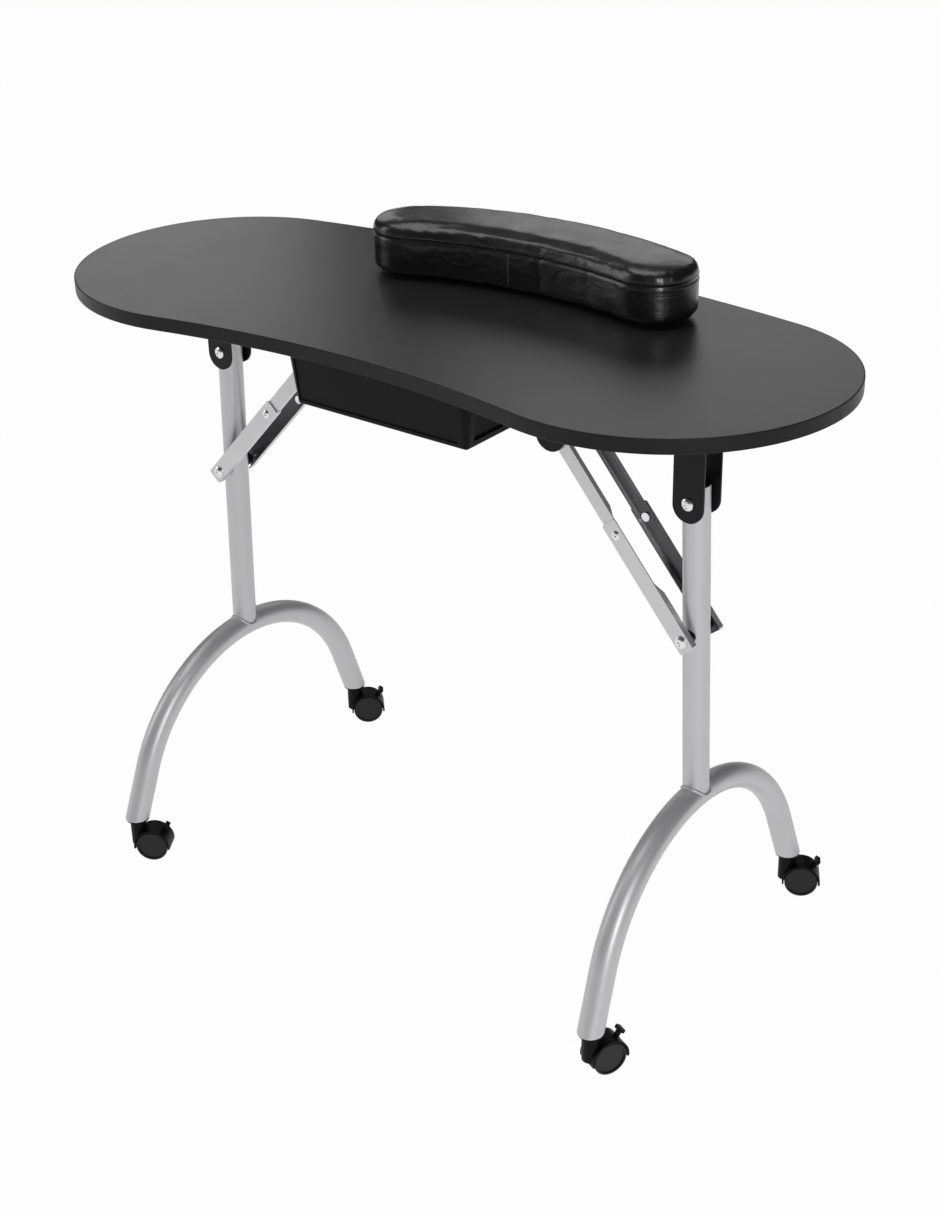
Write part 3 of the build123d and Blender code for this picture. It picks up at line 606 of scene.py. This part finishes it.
def make_weld_bead(side, sign):
    """A rippled ring round the post. Sign is -1 on the left leg, whose foot leans out to -X."""
    hinge = hinge_of[f"{side}_leg_fold"]
    arch_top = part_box(f"{side}_arch")[1].z
    post_low, post_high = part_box(f"{side}_post")
    reach = (post_high.y - post_low.y) / 2
    ring = bmesh.new()
    start = Matrix.Translation((reach + bead_stand_off, 0, 0)) @ Matrix.Rotation(pi / 2, 4, "X")
    bmesh.ops.create_circle(ring, segments=10, radius=bead_radius, matrix=start)
    bmesh.ops.spin(
        ring, geom=ring.verts[:] + ring.edges[:], cent=(0, 0, 0), axis=(0, 0, 1),
        angle=tau, steps=96, use_merge=True,
    )
    for vert in ring.verts:
        around = atan2(vert.co.y, vert.co.x)
        ripple = 1 + ripple_share * sin(around * ripples)
        across = reach * sin(around)
        height = max(abs(across), reach * lowest_share) - across**2 / (2 * arch_bend_radius)
        vert.co.x *= ripple
        vert.co.y *= ripple
        vert.co.z += height
    centre_z = arch_top - reach / cos(leg_lean)
    centre_x = hinge[0] + sign * sin(leg_lean) / cos(leg_lean) * (hinge[2] - centre_z)
    place = Matrix.Translation((centre_x, hinge[1], centre_z)) @ Matrix.Rotation(-sign * leg_lean, 4, "Y")
    bmesh.ops.transform(ring, matrix=place, verts=ring.verts)
    return make_piece(f"{side}_weld_bead", ring, silver_paint, f"{side}_leg")


beads = [make_weld_bead("left", -1), make_weld_bead("right", 1)]
print("beads:", [bead.name for bead in beads])

# %% [markdown]
# ## The studio
# Five soft lamps light the table: one overhead, one on the left, a narrow strip
# on the right, and two panels at the back whose reflections lie on the board.
# The camera sees floor and world as plain white. Reflections see the floor
# white too, but the world only dim, so the black pieces stay black.

# %% Floor
floor_white = 0.98  # how much of its own light the floor shows to camera and reflections


def build_floor():
    shape = bmesh.new()
    bmesh.ops.create_grid(shape, x_segments=1, y_segments=1, size=9)
    mesh = bpy.data.meshes.new("studio_floor")
    shape.to_mesh(mesh)
    shape.free()
    paint = bpy.data.materials.new("Studio floor")
    paint.use_nodes = True
    tree = paint.node_tree
    surface = tree.nodes["Principled BSDF"]
    surface.inputs["Base Color"].default_value = (0.85, 0.85, 0.85, 1)
    surface.inputs["Roughness"].default_value = 0.9
    glow = add_node(tree, "ShaderNodeEmission")
    path = add_node(tree, "ShaderNodeLightPath")
    seen = add_node(tree, "ShaderNodeMath", operation="MAXIMUM")
    share = add_node(tree, "ShaderNodeMath", operation="MULTIPLY")
    share.inputs[1].default_value = floor_white
    mix = add_node(tree, "ShaderNodeMixShader")
    tree.links.new(path.outputs["Is Camera Ray"], seen.inputs[0])
    tree.links.new(path.outputs["Is Glossy Ray"], seen.inputs[1])
    tree.links.new(seen.outputs["Value"], share.inputs[0])
    tree.links.new(share.outputs["Value"], mix.inputs[0])
    tree.links.new(surface.outputs["BSDF"], mix.inputs[1])
    tree.links.new(glow.outputs["Emission"], mix.inputs[2])
    tree.links.new(mix.outputs["Shader"], tree.nodes["Material Output"].inputs["Surface"])
    mesh.materials.append(paint)
    floor = bpy.data.objects.new("studio_floor", mesh)
    bpy.context.scene.collection.objects.link(floor)


build_floor()


# %% World: white to the camera, dim where it lights or reflects
def build_world(light, gloss):
    world = bpy.data.worlds.new("Studio")
    bpy.context.scene.world = world
    world.use_nodes = True
    tree = world.node_tree
    path = add_node(tree, "ShaderNodeLightPath")
    shiny = add_node(tree, "ShaderNodeMapRange")
    shiny.inputs["To Min"].default_value = light
    shiny.inputs["To Max"].default_value = gloss
    seen = add_node(tree, "ShaderNodeMath", operation="MAXIMUM")
    tree.links.new(path.outputs["Is Glossy Ray"], shiny.inputs["Value"])
    tree.links.new(path.outputs["Is Camera Ray"], seen.inputs[0])
    tree.links.new(shiny.outputs["Result"], seen.inputs[1])
    background = tree.nodes["Background"]
    background.inputs["Color"].default_value = (1, 1, 1, 1)
    tree.links.new(seen.outputs["Value"], background.inputs["Strength"])


build_world(light=0.04, gloss=0.05)


# %% Lamps
def area_lamp(name, place, target, size, watts):
    lamp = bpy.data.lights.new(name, "AREA")
    lamp.shape = "RECTANGLE"
    lamp.size, lamp.size_y = size
    lamp.energy = watts
    holder = bpy.data.objects.new(name, lamp)
    holder.location = place
    holder.rotation_euler = (Vector(target) - Vector(place)).to_track_quat("-Z", "Y").to_euler()
    bpy.context.scene.collection.objects.link(holder)


area_lamp("Overhead softbox", place=(-0.3, -0.2, 2.6), target=(0, 0, 0.5), size=(1.8, 1.8), watts=26)
area_lamp("Left softbox", place=(-2.6, -1.6, 1.5), target=(0, 0, 0.5), size=(1.2, 1.8), watts=17)
area_lamp("Right strip", place=(2.3, -1.7, 1.3), target=(0, 0, 0.5), size=(0.35, 1.5), watts=30)
area_lamp("Back left panel", place=(-2.6, 1.9, 1.7), target=(0, 0, 0.6), size=(1.0, 1.2), watts=4.6)
area_lamp("Back right panel", place=(-1.1, 2.35, 1.75), target=(0.3, 0, 0.6), size=(1.2, 1.1), watts=4.4)

# %% Camera
turn, dip, roll = radians(38.6155), radians(27.4912), radians(-1.3391)
camera = bpy.data.objects.new("Camera", bpy.data.cameras.new("Camera"))
bpy.context.scene.collection.objects.link(camera)
camera.data.lens = 57.93
camera.matrix_world = (
    Matrix.Translation((1.21708, -1.49856, 1.35379))
    @ Matrix.Rotation(turn, 4, "Z")
    @ Matrix.Rotation(pi / 2 - dip, 4, "X")
    @ Matrix.Rotation(roll, 4, "Z")
)
bpy.context.scene.camera = camera
bpy.context.scene.view_settings.view_transform = "Standard"
